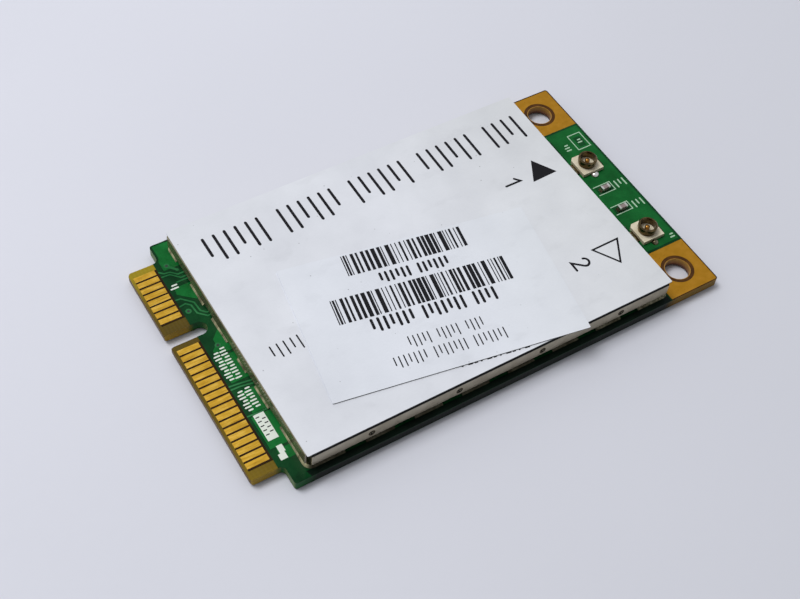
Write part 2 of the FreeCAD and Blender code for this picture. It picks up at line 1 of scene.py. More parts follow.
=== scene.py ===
"""The looks of a laptop wifi card: materials, print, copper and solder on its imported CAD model.

Sizes and places are in millimetres in the CAD frame, and MM turns them into Blender's metres.
"""
import json
import math

import bmesh
import bpy
from mathutils import Matrix, Vector


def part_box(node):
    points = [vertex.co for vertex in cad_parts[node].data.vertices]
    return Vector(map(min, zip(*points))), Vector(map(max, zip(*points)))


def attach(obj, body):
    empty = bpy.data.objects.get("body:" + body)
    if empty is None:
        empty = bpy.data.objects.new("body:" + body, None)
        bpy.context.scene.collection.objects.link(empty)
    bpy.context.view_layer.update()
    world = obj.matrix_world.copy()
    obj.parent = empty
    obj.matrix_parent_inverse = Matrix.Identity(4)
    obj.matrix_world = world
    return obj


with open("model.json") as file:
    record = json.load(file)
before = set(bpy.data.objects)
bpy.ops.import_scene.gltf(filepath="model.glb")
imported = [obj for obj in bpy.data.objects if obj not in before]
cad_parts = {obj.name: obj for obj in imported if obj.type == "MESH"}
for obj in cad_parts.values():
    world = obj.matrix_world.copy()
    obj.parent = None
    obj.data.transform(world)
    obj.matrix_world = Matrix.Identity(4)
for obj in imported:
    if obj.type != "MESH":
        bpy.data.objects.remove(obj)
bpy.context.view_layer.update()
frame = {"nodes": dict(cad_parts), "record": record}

MM = 0.001


def box_mm(node):
    """A CAD node's lowest and highest corners, in millimetres."""
    lo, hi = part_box(node)
    return Vector(lo) / MM, Vector(hi) / MM


MASK_LO, MASK_HI = box_mm("solder_mask_top")
MASK_UNDER_LO = box_mm("solder_mask_bottom")[0]
BOARD_LO, BOARD_HI = box_mm("circuit_board")
LID_LO, LID_HI = box_mm("shield_lid")
MAIN_LABEL_TOP = box_mm("main_label")[1].z
UPPER_LO, UPPER_HI = box_mm("upper_label")
PAD_LO, PAD_HI = box_mm("mounting_pads_top")
PADS_UNDER_Z = box_mm("mounting_pads_bottom")[0].z
CONTACT_LO, CONTACT_HI = box_mm("edge_contacts_top")

# Thickness of what lies on the board and on the labels
COPPER_LIFT = 0.018
UNDER_LIFT = 0.010
SILK_LIFT = 0.030
INK_LIFT = 0.006

# Edge contacts, as the form factor sets them
CONTACT_PITCH = 0.80
CONTACT_WIDTH = 0.60
SHORT_FIRST_Y = 6.20
LONG_FIRST_Y = 2.20
SHORT_COUNT = 8
LONG_COUNT = 18
UNDERSIDE_STAGGER = 0.40


def linear(tone):
    """A tone as Blender's four linear values.

    It may be a grey from 0 to 1, a colour in the 0 to 255 steps of a picture, or four linear values.
    """
    if not isinstance(tone, tuple):
        return (tone, tone, tone, 1.0)
    if len(tone) == 4:
        return tone
    parts = [step / 255 for step in tone]
    parts = [part / 12.92 if part <= 0.04045 else ((part + 0.055) / 1.055) ** 2.4 for part in parts]
    return (*parts, 1.0)


# Materials

# A Mix node has sockets for every type of data, and these are the ones for colours
MIX_FIRST = 6
MIX_SECOND = 7
MIX_RESULT = 2
# The length of one wave, in a wave texture's own units
WAVE_LENGTH = math.tau / 20


class Surface:
    """A material with one Principled shader, fed by textures that are measured in millimetres."""

    def __init__(self, name, **constants):
        self.material = bpy.data.materials.new(name)
        self.material.use_nodes = True
        self.tree = self.material.node_tree
        self.shader = self.tree.nodes["Principled BSDF"]
        self.place = self.node("ShaderNodeTexCoord").outputs["Object"]
        self.bumps = None
        for socket, value in constants.items():
            self.shader.inputs[socket.replace("_", " ")].default_value = value

    def node(self, kind, **settings):
        """A new node of a kind, with its settings."""
        made = self.tree.nodes.new(kind)
        for key, value in settings.items():
            setattr(made, key, value)
        return made

    def join(self, value, socket):
        """Links another node's output to a socket, or gives the socket a plain value."""
        if isinstance(value, bpy.types.NodeSocket):
            self.tree.links.new(value, socket)
        else:
            socket.default_value = value

    def feed(self, node, **inputs):
        """Joins values to a node's sockets by name, and gives the node back."""
        for name, value in inputs.items():
            self.join(value, node.inputs[name])
        return node

    def scaled(self, size):
        """Coordinates in which one unit is the given size in millimetres, along each axis."""
        scale = [1 / (part * MM) for part in size]
        mapping = self.feed(self.node("ShaderNodeMapping"), Vector=self.place, Scale=scale)
        return mapping.outputs["Vector"]

    def clouds(self, size, detail=3.0, roughness=0.5):
        """Soft patches about as large as the given size, which has one number or one for each axis."""
        spread = size if isinstance(size, tuple) else (size, size, size)
        texture = self.feed(self.node("ShaderNodeTexNoise"), Vector=self.scaled(spread), Scale=1.0,
                            Detail=detail, Roughness=roughness)
        return texture.outputs[0]

    def cells(self, size):
        """Distance to the nearest of many scattered points about the given size apart."""
        place = self.scaled((size, size, size))
        texture = self.feed(self.node("ShaderNodeTexVoronoi"), Vector=place, Scale=1.0)
        return texture.outputs["Distance"]

    def bands(self, pitch, axis, waver):
        """Even waves of light and dark along one axis, which may waver."""
        texture = self.node("ShaderNodeTexWave", bands_direction=axis)
        size = (pitch / WAVE_LENGTH,) * 3
        self.feed(texture, Vector=self.scaled(size), Scale=1.0, Distortion=waver, Detail=2.0)
        return texture.outputs["Fac"]

    def facing(self, axis):
        """How squarely the surface faces along an axis, either way: 0 not at all, 1 fully."""
        normal = self.node("ShaderNodeNewGeometry").outputs["Normal"]
        split = self.feed(self.node("ShaderNodeSeparateXYZ"), Vector=normal)
        level = self.node("ShaderNodeMath", operation="ABSOLUTE")
        self.join(split.outputs[axis], level.inputs[0])
        return level.outputs["Value"]

    def along(self, way, start, stop):
        """How far a place lies from start to stop, in millimetres along a direction: 0 to 1."""
        reach = self.node("ShaderNodeVectorMath", operation="DOT_PRODUCT")
        self.join(self.place, reach.inputs[0])
        self.join([part / MM for part in way], reach.inputs[1])
        span = self.node("ShaderNodeMapRange")
        self.feed(span, **{"Value": reach.outputs["Value"], "From Min": start, "From Max": stop})
        return span.outputs["Result"]

    def along_board(self):
        """How far a place lies from the contact edge to the socket end: 0 to 1."""
        return self.along((1, 0, 0), BOARD_LO.x, BOARD_HI.x)

    def along_lid(self):
        """How far a place lies along the shield lid, from the contacts' end: 0 to 1."""
        return self.along((1, 0, 0), LID_LO.x, LID_HI.x)

    def ramp(self, factor, *stops):
        """Tones that a factor runs through, as (position, tone) stops."""
        made = self.node("ShaderNodeValToRGB")
        elements = made.color_ramp.elements
        while len(elements) < len(stops):
            elements.new(1.0)
        for element, (position, tone) in zip(elements, stops):
            element.position = position
            element.color = linear(tone)
        self.feed(made, Fac=factor)
        return made.outputs["Color"]

    def mixed(self, factor, first, second, blend="MIX"):
        """Two colours mixed: a factor of 0 gives the first, and 1 the second or the full blend."""
        made = self.node("ShaderNodeMix", data_type="RGBA", blend_type=blend)
        self.feed(made, Factor=factor)
        for tone, place in ((first, MIX_FIRST), (second, MIX_SECOND)):
            self.join(linear(tone) if isinstance(tone, tuple) else tone, made.inputs[place])
        return made.outputs[MIX_RESULT]

    def times(self, tone, *layers):
        """A tone multiplied by each layer in turn."""
        for layer in layers:
            tone = self.mixed(1.0, tone, layer, "MULTIPLY")
        return tone

    def colour(self, value):
        """Sets what the shader takes as its colour."""
        self.feed(self.shader, **{"Base Color": value})

    def roughness(self, factor, low, high):
        """Lets the roughness run from low to high with a texture."""
        self.feed(self.shader, Roughness=self.ramp(factor, (0.25, low), (0.75, high)))

    def bump(self, height, depth):
        """Relief of a depth in millimetres, laid over any relief that is there already."""
        made = self.feed(self.node("ShaderNodeBump"), Height=height, Distance=depth * MM, Strength=1.0)
        if self.bumps:
            self.feed(made, Normal=self.bumps)
        self.bumps = made.outputs["Normal"]
        self.feed(self.shader, Normal=self.bumps)


# Pitch of the glass threads along and across the board
WARP_PITCH = 0.38
WEFT_PITCH = 0.34


def weave(look, waver):
    """The crossed threads of the board's glass cloth."""
    return look.mixed(0.5, look.bands(WARP_PITCH, "X", waver), look.bands(WEFT_PITCH, "Y", waver))


def sawn_edge(look):
    """The board's cut sides, in layers, with painted light and shade whose tints change from the contact
    edge to the sockets.
    """
    layers = look.mixed(0.5, look.bands(0.16, "Z", 0.6), look.clouds((0.5, 0.5, 0.06)))
    length = look.along_board()
    tip = look.ramp(layers, (0.3, (58, 42, 18)), (0.6, (96, 72, 34)), (0.85, (134, 104, 58)))
    # Painted green glow of light through the laminate on the cut ends between the contact edge and the
    # pads
    green_glow = look.ramp(length, (0.03, 0.0), (0.05, 0.7), (0.5, 0.7), (0.9, 0.0))
    tip = look.mixed(green_glow, tip, (84, 124, 70))
    # Long sides: painted light near the contacts and at the pads, painted shade along the dark middle
    side_light_and_shade = look.ramp(length, (0.045, (190, 156, 52)), (0.058, (26, 104, 48)), (0.075, (26, 104, 48)),
                     (0.105, (20, 28, 22)), (0.87, (20, 28, 22)), (0.90, (150, 116, 34)))
    side = look.times(side_light_and_shade, look.ramp(layers, (0.3, 0.55), (0.85, 1.0)))
    return look.mixed(look.ramp(look.facing("Y"), (0.3, 0.0), (0.8, 1.0)), tip, side)


def laminate():
    """Bare board: stained resin over woven glass, with sawn edges."""
    look = Surface("bare_laminate", Specular_IOR_Level=0.12)
    threads = weave(look, 1.2)
    stain_and_shade = look.clouds(2.4, detail=4.0)
    resin = look.ramp(look.along((0, 1, 0), BOARD_LO.y, BOARD_HI.y), (0.1, (116, 95, 14)),
                      (0.65, (88, 71, 10)), (0.8, (112, 92, 14)), (0.91, (158, 138, 24)))
    face = look.times(resin, look.ramp(stain_and_shade, (0.25, 0.78), (0.75, 1.0)),
                      look.ramp(threads, (0.3, 0.93), (0.7, 1.0)))
    flat = look.ramp(look.facing("Z"), (0.3, 0.0), (0.7, 1.0))
    look.colour(look.mixed(flat, sawn_edge(look), face))
    look.roughness(stain_and_shade, 0.34, 0.52)
    look.bump(threads, 0.012)
    return look.material


def lacquer(name, dark, middle, light, socket_end=1.0):
    """Green mask, whose tone depends on what lies under it and may dull towards the sockets."""
    look = Surface(name, Specular_IOR_Level=0.08)
    drift = look.clouds(1.7, detail=4.0)
    grain = look.clouds(0.16, detail=2.0)
    tone = look.ramp(drift, (0.28, dark), (0.5, middle), (0.75, light))
    fall = look.ramp(look.along_board(), (0.1, 1.0), (0.9, socket_end))
    look.colour(look.times(tone, look.ramp(grain, (0.3, 0.86), (0.7, 1.0)), fall))
    look.roughness(drift, 0.26, 0.42)
    look.bump(weave(look, 1.0), 0.004)
    look.bump(grain, 0.003)
    return look.material


def gold(name, dark, middle, light, smooth, rough, streak):
    """Gold plate with wear, pits, and fine streaks of the given size."""
    look = Surface(name, Metallic=1.0)
    wear = look.clouds(1.1, detail=5.0, roughness=0.6)
    streaks = look.clouds(streak)
    pits = look.ramp(look.cells(0.55), (0.05, 0.8), (0.16, 1.0))
    tone = look.ramp(look.mixed(0.4, wear, streaks), (0.3, dark), (0.5, middle), (0.72, light))
    look.colour(look.times(tone, pits))
    look.roughness(streaks, smooth, rough)
    look.bump(streaks, 0.004)
    look.bump(wear, 0.006)
    return look.material


def plated_wall():
    """The plated wall of a hole, with painted shade that darkens it to a reddish brown towards the
    underside.
    """
    look = Surface("hole_wall", Metallic=0.3)
    height = look.along((0, 0, 1), BOARD_LO.z, BOARD_HI.z)
    drift = look.clouds((0.7, 0.7, 0.25))
    # Painted shade, deeper down the hole
    tone = look.ramp(height, (0.1, (92, 44, 10)), (0.4, (150, 98, 24)), (0.8, (182, 136, 44)))
    look.colour(look.times(tone, look.ramp(drift, (0.3, 0.75), (0.7, 1.0))))
    look.roughness(drift, 0.3, 0.5)
    look.bump(drift, 0.006)
    return look.material


def bend_reflections(look, tone):
    """A sheet's tone with painted reflections on its folds: dark over the long sides, pale over the
    short ones.
    """
    upward = look.facing("Z")
    # Painted dark reflection on the long sides' folds, painted pale reflection on the short sides' folds
    folds = (("Y", 0.02, 0.16, (14, 13, 11)), ("X", 0.30, 0.60, (150, 146, 122)))
    for axis, start, stop, shade in folds:
        fold = look.times(look.ramp(upward, (start, 0.0), (stop, 1.0)),
                          look.ramp(look.facing(axis), (0.15, 0.0), (0.45, 1.0)))
        tone = look.mixed(fold, tone, shade)
    return tone


def tin(name, dark, middle, light, long_side_shade):
    """Tinned sheet, satin and mottled, whose short sides are smoother, tarnished in streaks and darkened
    as a painted dark reflection, and whose long sides may carry painted shade.
    """
    look = Surface(name, Metallic=0.7)
    mottle = look.clouds(1.8)
    rolling = look.clouds((3.0, 3.0, 0.14), detail=2.0)
    stain_and_shade = look.clouds(3.5, detail=4.0)
    short_side = look.ramp(look.facing("X"), (0.3, 0.0), (0.8, 1.0))
    tone = look.ramp(mottle, (0.25, dark), (0.5, middle), (0.78, light))
    tone = look.mixed(look.ramp(stain_and_shade, (0.52, 0.0), (0.72, 0.4)), tone, (140, 120, 92))
    # Streaky tarnishing that darkens the short sides, also as a painted dark reflection
    tarnish_and_reflection = look.ramp(look.clouds((1.4, 1.6, 0.7)), (0.3, (128, 126, 96)), (0.7, (186, 182, 152)))
    tone = look.mixed(short_side, tone, tarnish_and_reflection, "MULTIPLY")
    specks = look.ramp(look.cells(0.9), (0.04, 0.55), (0.10, 1.0))
    # The long sides darkened by a share, as painted shade
    tone = look.times(tone, specks, look.ramp(look.facing("Y"), (0.4, 1.0), (0.8, long_side_shade)))
    look.colour(bend_reflections(look, tone))
    look.feed(look.shader, Roughness=look.ramp(short_side, (0.0, 0.50), (1.0, 0.22)))
    look.bump(mottle, 0.006)
    look.bump(rolling, 0.001)
    return look.material


def solder(name, dull, bright, flux_share, end_shine=0.0, side_shade=0.0):
    """Solder with a frosted skin and patches of brown flux.

    What faces the card's ends may carry painted glints, and what faces its long sides painted shade.
    """
    look = Surface(name, Metallic=1.0)
    frost = look.clouds(0.22, detail=4.0, roughness=0.6)
    flux = look.clouds(0.9)
    tone = look.ramp(frost, (0.3, dull), (0.74, bright))
    # Painted glints on what faces the card's ends
    glints = look.times(look.ramp(look.clouds((0.4, 0.9, 0.3)), (0.38, 0.25), (0.58, 1.0)),
                        look.ramp(look.facing("X"), (0.2, 0.0), (0.5, end_shine)))
    tone = look.mixed(glints, tone, (204, 198, 150))
    tone = look.mixed(look.ramp(flux, (0.42, 0.0), (0.62, flux_share)), tone, (40, 35, 18))
    # Painted shade on what faces the long sides, less towards the socket end
    stain_and_shade = look.times(look.ramp(look.along_lid(), (0.7, side_shade), (1.0, 0.4 * side_shade)),
                       look.ramp(look.facing("Y"), (0.2, 0.0), (0.5, 1.0)))
    look.colour(look.mixed(stain_and_shade, tone, (22, 19, 13)))
    look.roughness(frost, 0.14, 0.30)
    look.bump(frost, 0.004)
    return look.material


def paper(name, shade, base, light):
    """Matt label stock: fibres, a faint mottle, smudges, a few specks of dirt, a greying towards the
    socket end, and painted shade on the long cut edges.
    """
    look = Surface(name, Specular_IOR_Level=0.3, Sheen_Weight=0.05)
    mottle = look.clouds(5.5, detail=4.0)
    fibres = look.clouds((0.35, 0.07, 0.2), detail=4.0, roughness=0.6)
    specks = look.ramp(look.cells(1.3), (0.035, 0.55), (0.06, 1.0))
    spread = look.ramp(look.clouds(7.0, detail=2.0), (0.5, 1.0), (0.62, 0.0))
    dirt = look.mixed(spread, (1.0, 1.0, 1.0, 1.0), specks)
    smudges = look.ramp(look.clouds((3.4, 1.9, 1.0)), (0.6, 1.0), (0.78, 0.93))
    # Painted shade on the cut edges that face the long sides
    shaded_side = look.ramp(look.facing("Y"), (0.4, 1.0), (0.8, 0.10))
    # A little greyer towards the socket end
    greyer_to_socket_end = look.ramp(look.along_lid(), (0.5, 1.0), (1.0, (0.91, 0.91, 0.88, 1.0)))
    tone = look.ramp(mottle, (0.25, shade), (0.5, base), (0.75, light))
    nap = look.ramp(fibres, (0.3, 0.965), (0.7, 1.0))
    look.colour(look.times(tone, nap, dirt, smudges, shaded_side, greyer_to_socket_end))
    look.roughness(fibres, 0.55, 0.75)
    look.bump(fibres, 0.004)
    look.bump(mottle, 0.02)
    return look.material


def ink(name, deep, worn, socket_end=1.0):
    """Print, a little thin in places, through which the board may show towards the sockets."""
    look = Surface(name, Specular_IOR_Level=0.12)
    thin = look.clouds(0.30, detail=5.0, roughness=0.7)
    tone = look.ramp(thin, (0.35, deep), (0.62, deep), (0.85, worn))
    look.colour(look.times(tone, look.ramp(look.along_board(), (0.1, 1.0), (0.9, socket_end))))
    look.roughness(thin, 0.45, 0.7)
    look.bump(thin, 0.002)
    return look.material


def moulded(name, dark, light, grain, smooth, rough, gloss=0.45):
    """A solid with a fine grain: moulded plastic, ceramic, ferrite, dark bare board, or painted shade.
    """
    look = Surface(name, Specular_IOR_Level=gloss)
    fine = look.clouds(grain)
    drift = look.clouds(1.2, detail=4.0)
    tone = look.ramp(drift, (0.28, dark), (0.74, light))
    look.colour(look.times(tone, look.ramp(fine, (0.3, 0.88), (0.7, 1.0))))
    look.roughness(fine, smooth, rough)
    look.bump(fine, 0.005)
    return look.material


def floor_look():
    """A pale floor with painted light: a little paler on the side that the light comes from."""
    look = Surface("studio_floor", Specular_IOR_Level=0.2)
    drift = look.clouds(60.0, detail=2.0)
    grain = look.clouds(1.4)
    fall = look.ramp(look.along(FLOOR_FALL, *FLOOR_SPAN), (0.0, (217, 219, 230)), (1.0, (193, 195, 204)))
    look.colour(look.times(fall, look.ramp(drift, (0.3, 0.97), (0.7, 1.0))))
    look.roughness(grain, 0.6, 0.75)
    look.bump(grain, 0.01)
    return look.material


# Looks that pieces and nodes share, with their tones in the 0 to 255 steps of a picture
MASK_DARK = lacquer("mask_over_laminate", (3, 47, 20), (5, 61, 27), (8, 75, 33))
MASK_LIGHT = lacquer("mask_over_copper", (8, 89, 35), (14, 105, 44), (23, 119, 53), socket_end=0.72)
MASK_TRACK = lacquer("mask_over_track", (27, 95, 50), (42, 114, 65), (58, 130, 79))
# Painted shade on the mask along the long edges
MASK_IN_SHADE = lacquer("mask_in_painted_shade", (2, 13, 8), (4, 20, 12), (7, 28, 17))
# Dull and bright tones of reflowed solder, darkened as painted shade for solder that lies in the lid's
# shade
REFLOWED = ((58, 55, 38), (158, 154, 126))
SOLDER = solder("reflowed_solder", *REFLOWED, flux_share=0.85)
BRIGHT_SOLDER = solder("bright_solder", (186, 182, 172), (236, 234, 228), flux_share=0.25)
BLACK_INK = ink("black_ink", (18, 18, 22), (58, 58, 62))
WHITE_INK = ink("white_ink", (220, 227, 219), (160, 190, 168), socket_end=(0.46, 0.64, 0.50, 1.0))
VIA_HOLE = moulded("via_hole", (5, 22, 12), (10, 34, 18), grain=0.08, smooth=0.35, rough=0.6)
# Painted shade for the gaps beside the contacts and round the dimples
GAP_SHADE = moulded("painted_gap_shade", (30, 17, 5), (52, 33, 12),
                   grain=0.1, smooth=0.5, rough=0.7, gloss=0.08)
RIM_LOOK = moulded("rim_line", (46, 27, 8), (72, 45, 16),
                   grain=0.1, smooth=0.45, rough=0.65, gloss=0.08)
BARE_RING = moulded("bare_ring", (56, 33, 12), (92, 58, 22),
                    grain=0.1, smooth=0.45, rough=0.65, gloss=0.08)
HOLE_WALL = plated_wall()
LAND_LOOK = gold("worn_land", (158, 114, 46), (180, 136, 66), (204, 164, 96),
                 smooth=0.3, rough=0.5, streak=(0.4, 0.4, 0.4))
PAD_GOLD = gold("pad_gold", (158, 114, 26), (168, 122, 34), (178, 132, 46),
                smooth=0.5, rough=0.66, streak=(0.5, 0.5, 0.5))
PIN_GOLD = gold("pin_gold", (112, 74, 28), (140, 98, 42), (170, 128, 64),
                smooth=0.2, rough=0.36, streak=(0.3, 0.3, 0.08))

# What the CAD nodes wear by their material slot, and what some wear by their own name
LOOKS = {
    "laminate": laminate(),
    "solder_mask": MASK_DARK,
    "gold_plate": gold("contact_gold", (168, 126, 37), (190, 149, 50), (213, 177, 85),
                       smooth=0.26, rough=0.44, streak=(1.6, 0.07, 0.3)),
    # The lid's long sides a little darker, as painted shade
    "tinned_steel": tin("lid_sheet", (186, 176, 154), (206, 197, 176), (222, 214, 196), long_side_shade=0.82),
    "solder": SOLDER,
    "label_paper": paper("main_label_paper", (205, 208, 216), (212, 215, 223), (218, 221, 229)),
    "socket_plastic": moulded("cream_plastic", (204, 193, 166), (226, 217, 195),
                              grain=0.12, smooth=0.36, rough=0.52),
    "socket_metal": gold("socket_gold", (45, 38, 26), (86, 73, 48), (148, 126, 86),
                         smooth=0.13, rough=0.28, streak=(0.3, 0.3, 0.08)),
    "chip_ceramic": moulded("chip_ceramic", (110, 97, 94), (144, 130, 127),
                            grain=0.1, smooth=0.35, rough=0.55),
    "lead_metal": SOLDER,
    "package_plastic": moulded("package_plastic", (20, 20, 22), (36, 36, 38),
                               grain=0.09, smooth=0.5, rough=0.7),
    "ferrite": moulded("ferrite", (44, 44, 46), (70, 68, 66), grain=0.14, smooth=0.55, rough=0.75),
}
OWN_LOOKS = {
    "antenna_socket_1_pin": PIN_GOLD,
    "antenna_socket_2_pin": PIN_GOLD,
    "antenna_capacitor_ends": solder("part_ends", (196, 194, 182), (236, 235, 226), flux_share=0.1),
    "antenna_capacitor_solder": solder("part_solder", (96, 92, 80), (190, 186, 172), flux_share=0.5),
    "mounting_pads_top": PAD_GOLD,
    "mounting_pads_bottom": PAD_GOLD,
    # Solder at the frame's feet, with painted glints at the ends and painted shade along the long sides
    "frame_solder": solder("wall_solder", *REFLOWED, flux_share=0.7, end_shine=0.75, side_shade=0.85),
    # The frame under the lid: a darker copy of the lid's sheet with darker long sides, as painted shade
    # under the skirt
    "shield_frame": tin("frame_sheet_in_shade", (124, 116, 96), (146, 138, 116), (168, 160, 138), long_side_shade=0.25),
    "upper_label": paper("upper_label_paper", (208, 212, 221), (214, 218, 227), (219, 223, 232)),
}


def dress_cad_nodes():
    """Gives each CAD node its look."""
    for entry in frame["record"]["subparts"]:
        node = frame["nodes"][entry["node"]]
        look = OWN_LOOKS.get(entry["node"], LOOKS[entry["material_slot"]])
        if not node.material_slots:
            node.data.materials.append(look)
        for place in node.material_slots:
            place.material = look


# Flat pieces: outlines in the plan of the card, given a thickness

# The furthest that a mitre reaches is half the line's width divided by this
MITRE_LIMIT = 0.3
RING_STEPS = 20


def rectangle(x0, x1, y0, y1):
    """The corners of a rectangle, anticlockwise."""
    return [(x0, y0), (x1, y0), (x1, y1), (x0, y1)]


def arc(x, y, radius, start, stop, steps):
    """Points along an arc, both ends among them."""
    angles = [start + (stop - start) * i / steps for i in range(steps + 1)]
    return [(x + radius * math.cos(angle), y + radius * math.sin(angle)) for angle in angles]


def circle(x, y, radius, steps):
    """A round outline."""
    return arc(x, y, radius, 0, math.tau, steps)[:-1]


def mitre(before, after, half):
    """The step from a line's corner to the corner of its left edge, between two runs of the line."""
    bisector = (before + after).normalized()
    across = Vector((-bisector.y, bisector.x))
    return across * half / max(MITRE_LIMIT, across.dot(Vector((-before.y, before.x))))


def closed_line(points, width):
    """The outer and inner outlines of a closed line of even width, which runs anticlockwise."""
    spots = [Vector(point) for point in points]
    runs = [(stop - start).normalized() for start, stop in zip(spots, spots[1:] + spots[:1])]
    steps = [mitre(runs[i - 1], runs[i], width / 2) for i in range(len(spots))]
    outer = [spot - step for spot, step in zip(spots, steps)]
    inner = [spot + step for spot, step in zip(spots, steps)]
    return outer, inner


def stroke(points, width, cap_steps):
    """The outline of a line of even width with round ends, mitred at its corners."""
    half = width / 2
    spots = [Vector(point) for point in points]
    runs = [(stop - start).normalized() for start, stop in zip(spots, spots[1:])]
    steps = [mitre(before, after, half) for before, after in zip(runs, runs[1:])]
    left = [tuple(spot + step) for spot, step in zip(spots[1:], steps)]
    right = [tuple(spot - step) for spot, step in zip(spots[1:], steps)]
    out_angle = math.atan2(runs[-1].y, runs[-1].x)
    back_angle = math.atan2(-runs[0].y, -runs[0].x)
    quarter = math.pi / 2
    out_cap = arc(*spots[-1], half, out_angle - quarter, out_angle + quarter, cap_steps)
    back_cap = arc(*spots[0], half, back_angle - quarter, back_angle + quarter, cap_steps)
    return right + out_cap + left[::-1] + back_cap


class Sheet:
    """Shapes of one material, collected into one mesh."""

    def __init__(self):
        self.mesh = bmesh.new()

    def loop(self, outline, z):
        """New vertices along an outline, at one height."""
        return [self.mesh.verts.new((x * MM, y * MM, z * MM)) for x, y in outline]

    def wall(self, first, second):
        """Faces between two closed loops with as many vertices each."""
        count = len(first)
        for i in range(count):
            j = (i + 1) % count
            self.mesh.faces.new((first[i], first[j], second[j], second[i]))

    def prism(self, outline, z0, z1):
        """A flat shape with an outline, between two heights."""
        lower = self.loop(outline, z0)
        upper = self.loop(outline, z1)
        self.mesh.faces.new(reversed(lower))
        self.mesh.faces.new(upper)
        self.wall(lower, upper)

    def band(self, outer, inner, z0, z1):
        """A flat band between two outlines with as many corners each."""
        places = ((outer, z0), (outer, z1), (inner, z1), (inner, z0))
        loops = [self.loop(outline, z) for outline, z in places]
        for first, second in zip(loops, loops[1:] + loops[:1]):
            self.wall(first, second)

    def ring(self, x, y, outer, inner, z0, z1, steps=RING_STEPS):
        """A flat ring between two radii."""
        self.band(circle(x, y, outer, steps), circle(x, y, inner, steps), z0, z1)

    def finish(self, name, material):
        """Makes the mesh into a named piece that rides with the card."""
        bmesh.ops.recalc_face_normals(self.mesh, faces=self.mesh.faces)
        data = bpy.data.meshes.new(name)
        self.mesh.to_mesh(data)
        self.mesh.free()
        data.materials.append(material)
        piece = bpy.data.objects.new(name, data)
        bpy.context.collection.objects.link(piece)
        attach(piece, "root")
        return piece


def flat_piece(name, outlines, z0, z1, material):
    """A piece made of flat shapes that lie between the same two heights."""
    sheet = Sheet()
    for outline in outlines:
        sheet.prism(outline, z0, z1)
    sheet.finish(name, material)


# Print on the labels

# The upper label is turned on the lid, and its print runs a little askew on it
UPPER_CENTRE = (UPPER_LO + UPPER_HI) / 2
UPPER_TURN = math.radians(-9.5)
UPPER_WIDTH = 15.70
PRINT_TURN = math.radians(-10.0)

# Bar codes on the upper label: x from and to, y from and to
BAR_CODES = ((-6.6, 5.9, 5.05, 7.55), (-9.35, 8.57, -0.1, 2.8))
CODE_MODULE = 0.105

# Lines of ticks: x from and to, y from and to, width and pitch of the ticks, and ticks in a group
UPPER_LINES = (
    (-3.7, 3.6, 3.4, 4.45, 0.26, 0.56, 6),
    (-6.4, 5.9, -1.8, -0.45, 0.28, 0.62, 7),
    (-3.85, 3.4, -4.55, -3.3, 0.12, 0.48, 5),
    (-5.95, 5.5, -6.3, -5.1, 0.12, 0.48, 7),
)
MAIN_LINES = (
    (-18.0, 18.0, 8.6, 11.7, 0.30, 1.15, 6),
    (-18.2, -15.4, -4.0, -2.5, 0.15, 0.62, 9),
)
SHORT_TICK = 0.28
TICK_CAP = 4

# Dashes on the main label, beside the upper one
DASH_FIRST_X = -0.4
DASH_PITCH = 0.64
DASH_COUNT = 11
DASH_SHORTEST = 0.17
DASH_LINE = 0.12

# The two triangles on the main label, and the plain numerals beside them
FIRST_TRIANGLE = [(16.41, 5.45), (14.96, 2.84), (17.93, 2.96)]
SECOND_TRIANGLE = [(14.98, -7.32), (16.56, -9.84), (18.05, -7.28)]
TRIANGLE_LINE = 0.20
NUMERAL_HEIGHT = 1.75
NUMERAL_LINE = 0.24
FIRST_NUMERAL = (12.98, 3.72)
SECOND_NUMERAL = (12.98, -8.18)
ONE_STEM_X = 0.10
ONE_FLAG_X = -0.42
ONE_FLAG_DROP = 0.46
TWO_BOW_RADIUS = 0.46
TWO_BOW_START = math.radians(170)
TWO_BOW_STOP = math.radians(-40)
TWO_BOW_STEPS = 12
TWO_FOOT_X = (-0.50, 0.52)


def on_upper(outline, turn=PRINT_TURN):
    """An outline on the upper label, moved to its place in the plan of the card."""
    cosine = math.cos(turn)
    sine = math.sin(turn)
    middle = UPPER_CENTRE
    return [(middle.x + x * cosine - y * sine, middle.y + x * sine + y * cosine) for x, y in outline]


def bar_code(x0, x1, y0, y1):
    """Upright bars whose widths and gaps follow a plain formula."""
    outlines = []
    x = x0
    i = 0
    while True:
        bar = CODE_MODULE * (1 + (i * i + i // 3) % 4)
        gap = CODE_MODULE * (1 + (i * i // 2 + i // 5) % 3)
        if x + bar > x1:
            return outlines
        outlines.append(rectangle(x, x + bar, y0, y1))
        x += bar + gap
        i += 1


def tick_line(x0, x1, y0, y1, width, pitch, group):
    """A row of plain upright ticks in groups; each third one is shorter."""
    outlines = []
    count = int((x1 - x0) / pitch)
    for i in range(count + 1):
        if i % (group + 1) == group:
            continue
        x = x0 + (x1 - x0) * i / count
        foot = y0 + (y1 - y0) * (0.0 if i % 3 else SHORT_TICK)
        outlines.append(stroke([(x, foot), (x, y1)], width, TICK_CAP))
    return outlines


def edge_dashes():
    """Short dashes on the main label, along the near edge of the upper one."""
    outlines = []
    edge = -UPPER_WIDTH / 2
    for i in range(DASH_COUNT):
        x = DASH_FIRST_X + i * DASH_PITCH
        reach = x + DASH_SHORTEST * (1 + (i * 2) % 3)
        outlines.append(on_upper(rectangle(x, reach, edge - DASH_LINE, edge), UPPER_TURN))
    return outlines


def numeral_one():
    """The line of a plain 1, as (across, up) steps from its middle."""
    half = NUMERAL_HEIGHT / 2
    return [(ONE_STEM_X, -half), (ONE_STEM_X, half), (ONE_FLAG_X, half - ONE_FLAG_DROP)]


